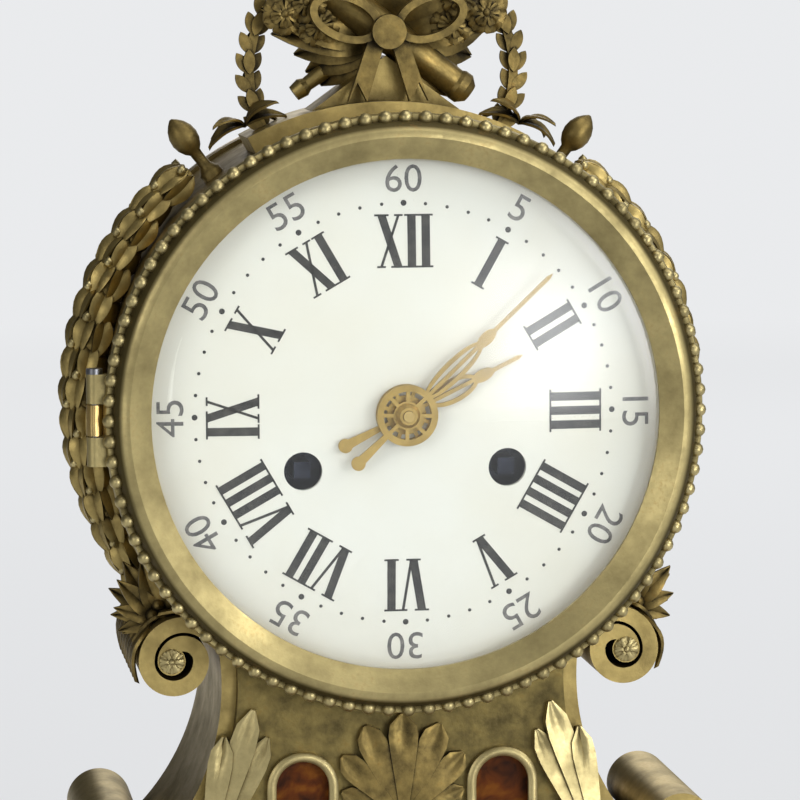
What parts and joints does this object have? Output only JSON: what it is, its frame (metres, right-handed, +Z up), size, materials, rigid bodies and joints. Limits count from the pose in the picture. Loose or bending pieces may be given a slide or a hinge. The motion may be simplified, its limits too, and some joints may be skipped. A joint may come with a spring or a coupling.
{
  "type": "pendulette clock",
  "caption": "Small gilt drum mantel clock on a waisted pedestal and marble plinth, with enamel dial, hinged glazed bezel, rear door, striking movement, pendulum, garlands and trophy.",
  "frame": {"origin": "middle of the base at the ground, under the middle of the plinth", "axes": "+Z up, dial facing -Y, +X to the right of someone who reads the dial"},
  "size_m": [0.142, 0.09, 0.2126],
  "materials": {
    "gilt_bronze": "fire-gilt, worn, dark recesses",
    "movement_brass": "grained and lacquered",
    "blued_steel": "polished steel",
    "red_marble": "polished, veined",
    "red_lacquer": "gloss",
    "white_enamel": "gloss",
    "clear_glass": "clear, domed",
    "bell_metal": "turned, polished"
  },
  "bodies": {
    "case": {"toupie_feet": "gilt_bronze", "plinth_frame": "gilt_bronze", "marble_plinth": "red_marble", "waist_base": "gilt_bronze", "waist_casting": "gilt_bronze", "waist_panels": "red_lacquer", "waist_cartouche": "gilt_bronze", "drum_cradle": "gilt_bronze", "side_scroll_right": "gilt_bronze", "side_scroll_left": "gilt_bronze", "drum_shell": "gilt_bronze", "garland_right": "gilt_bronze", "garland_left": "gilt_bronze", "garland_pegs": "gilt_bronze", "finial_stand": "gilt_bronze", "finial_quiver": "gilt_bronze", "finial_torch": "gilt_bronze", "finial_ribbon": "gilt_bronze", "finial_branches": "gilt_bronze", "case_bolts": "blued_steel", "hinge_pins": "blued_steel", "dial_carrier": "movement_brass", "dial_enamel": "white_enamel", "rear_ring": "movement_brass", "movement_straps": "movement_brass", "strap_screws": "blued_steel", "front_plate": "movement_brass", "back_plate": "movement_brass", "plate_pillars": "movement_brass", "movement_nuts": "movement_brass", "anchor_cock": "movement_brass", "suspension_block": "movement_brass", "winding_clicks": "blued_steel", "bell": "bell_metal", "bell_stand": "blued_steel"},
    "front_bezel": {"front_bezel": "gilt_bronze", "bezel_glass": "clear_glass", "glass_retainer": "movement_brass"},
    "rear_door": {"rear_door": "movement_brass"},
    "minute_hand": {"minute_hand": "gilt_bronze", "hand_nut": "gilt_bronze", "cannon_pinion": "movement_brass"},
    "hour_hand": {"hour_hand": "gilt_bronze", "hour_wheel": "movement_brass"},
    "minute_wheel": {"minute_wheel": "movement_brass"},
    "escape_wheel": {"escape_wheel": "movement_brass"},
    "third_wheel": {"third_wheel": "movement_brass"},
    "centre_wheel": {"centre_wheel": "movement_brass"},
    "second_wheel": {"second_wheel": "movement_brass"},
    "going_barrel": {"going_barrel": "movement_brass"},
    "strike_fly": {"strike_fly": "blued_steel"},
    "warning_wheel": {"warning_wheel": "movement_brass"},
    "pin_wheel": {"pin_wheel": "movement_brass"},
    "strike_second_wheel": {"strike_second_wheel": "movement_brass"},
    "strike_barrel": {"strike_barrel": "movement_brass"},
    "pendulum": {"pendulum": "movement_brass"},
    "pallet_anchor": {"pallet_anchor": "blued_steel"},
    "strike_hammer": {"strike_hammer": "blued_steel"},
    "going_arbor": {"going_arbor": "blued_steel"},
    "strike_arbor": {"strike_arbor": "blued_steel"}
  },
  "joints": [
    {"name": "bezel_hinge", "type": "hinge", "parent": "case", "child": "front_bezel", "pos_m": [-0.0568, -0.02765, 0.1222], "axis": [0, 0, -1], "range_deg": [0, 105]},
    {"name": "rear_door_hinge", "type": "hinge", "parent": "case", "child": "rear_door", "pos_m": [0.0557, 0.03765, 0.1222], "axis": [0, 0, -1], "range_deg": [0, 105]},
    {"name": "minute_turn", "type": "hinge", "parent": "case", "child": "minute_hand", "pos_m": [0, 0, 0.1222], "axis": [0, 1, 0], "continuous": true},
    {"name": "hour_turn", "type": "hinge", "parent": "case", "child": "hour_hand", "pos_m": [0, 0, 0.1222], "axis": [0, 1, 0], "continuous": true},
    {"name": "motion_turn", "type": "hinge", "parent": "case", "child": "minute_wheel", "pos_m": [0.006, 0, 0.13259], "axis": [0, 1, 0], "continuous": true},
    {"name": "escape_turn", "type": "hinge", "parent": "case", "child": "escape_wheel", "pos_m": [0, 0, 0.14768], "axis": [0, 1, 0], "continuous": true},
    {"name": "third_turn", "type": "hinge", "parent": "case", "child": "third_wheel", "pos_m": [-0.00258, 0, 0.13547], "axis": [0, 1, 0], "continuous": true},
    {"name": "centre_turn", "type": "hinge", "parent": "case", "child": "centre_wheel", "pos_m": [0, 0, 0.1222], "axis": [0, 1, 0], "continuous": true},
    {"name": "second_turn", "type": "hinge", "parent": "case", "child": "second_wheel", "pos_m": [0.01114, 0, 0.13068], "axis": [0, 1, 0], "continuous": true},
    {"name": "going_barrel_turn", "type": "hinge", "parent": "case", "child": "going_barrel", "pos_m": [0.01885, 0, 0.11205], "axis": [0, 1, 0], "continuous": true},
    {"name": "fly_turn", "type": "hinge", "parent": "case", "child": "strike_fly", "pos_m": [-0.02084, 0, 0.15439], "axis": [0, 1, 0], "continuous": true},
    {"name": "warning_turn", "type": "hinge", "parent": "case", "child": "warning_wheel", "pos_m": [-0.0128, 0, 0.15297], "axis": [0, 1, 0], "continuous": true},
    {"name": "pin_turn", "type": "hinge", "parent": "case", "child": "pin_wheel", "pos_m": [-0.01455, 0, 0.14304], "axis": [0, 1, 0], "continuous": true},
    {"name": "strike_second_turn", "type": "hinge", "parent": "case", "child": "strike_second_wheel", "pos_m": [-0.02235, 0, 0.1319], "axis": [0, 1, 0], "continuous": true},
    {"name": "strike_barrel_turn", "type": "hinge", "parent": "case", "child": "strike_barrel", "pos_m": [-0.01885, 0, 0.11205], "axis": [0, 1, 0], "continuous": true},
    {"name": "pendulum_swing", "type": "hinge", "parent": "case", "child": "pendulum", "pos_m": [0, 0, 0.15548], "axis": [0, 1, 0], "range_deg": [-4, 4]},
    {"name": "anchor_rock", "type": "hinge", "parent": "case", "child": "pallet_anchor", "pos_m": [0, 0, 0.15548], "axis": [0, 1, 0], "range_deg": [-4, 4]},
    {"name": "hammer_lift", "type": "hinge", "parent": "case", "child": "strike_hammer", "pos_m": [-0.034, 0, 0.1412], "axis": [0, 1, 0], "range_deg": [0, 12]},
    {"name": "going_winding", "type": "hinge", "parent": "case", "child": "going_arbor", "pos_m": [0.01885, 0, 0.11205], "axis": [0, 1, 0], "range_deg": [0, 1980]},
    {"name": "strike_winding", "type": "hinge", "parent": "case", "child": "strike_arbor", "pos_m": [-0.01885, 0, 0.11205], "axis": [0, 1, 0], "range_deg": [0, 1980]}
  ],
  "couplings": [
    {"joint": "hour_turn", "follows": "minute_turn", "ratio": 0.083333},
    {"joint": "motion_turn", "follows": "minute_turn", "ratio": -0.33333},
    {"joint": "escape_turn", "follows": "centre_turn", "ratio": 132},
    {"joint": "third_turn", "follows": "centre_turn", "ratio": -12},
    {"joint": "second_turn", "follows": "centre_turn", "ratio": -0.16667},
    {"joint": "going_barrel_turn", "follows": "centre_turn", "ratio": 0.027778},
    {"joint": "fly_turn", "follows": "pin_turn", "ratio": 60},
    {"joint": "warning_turn", "follows": "pin_turn", "ratio": -8},
    {"joint": "strike_second_turn", "follows": "pin_turn", "ratio": -0.11111},
    {"joint": "strike_barrel_turn", "follows": "pin_turn", "ratio": 0.018519},
    {"joint": "anchor_rock", "follows": "pendulum_swing", "ratio": 1}
  ]
}
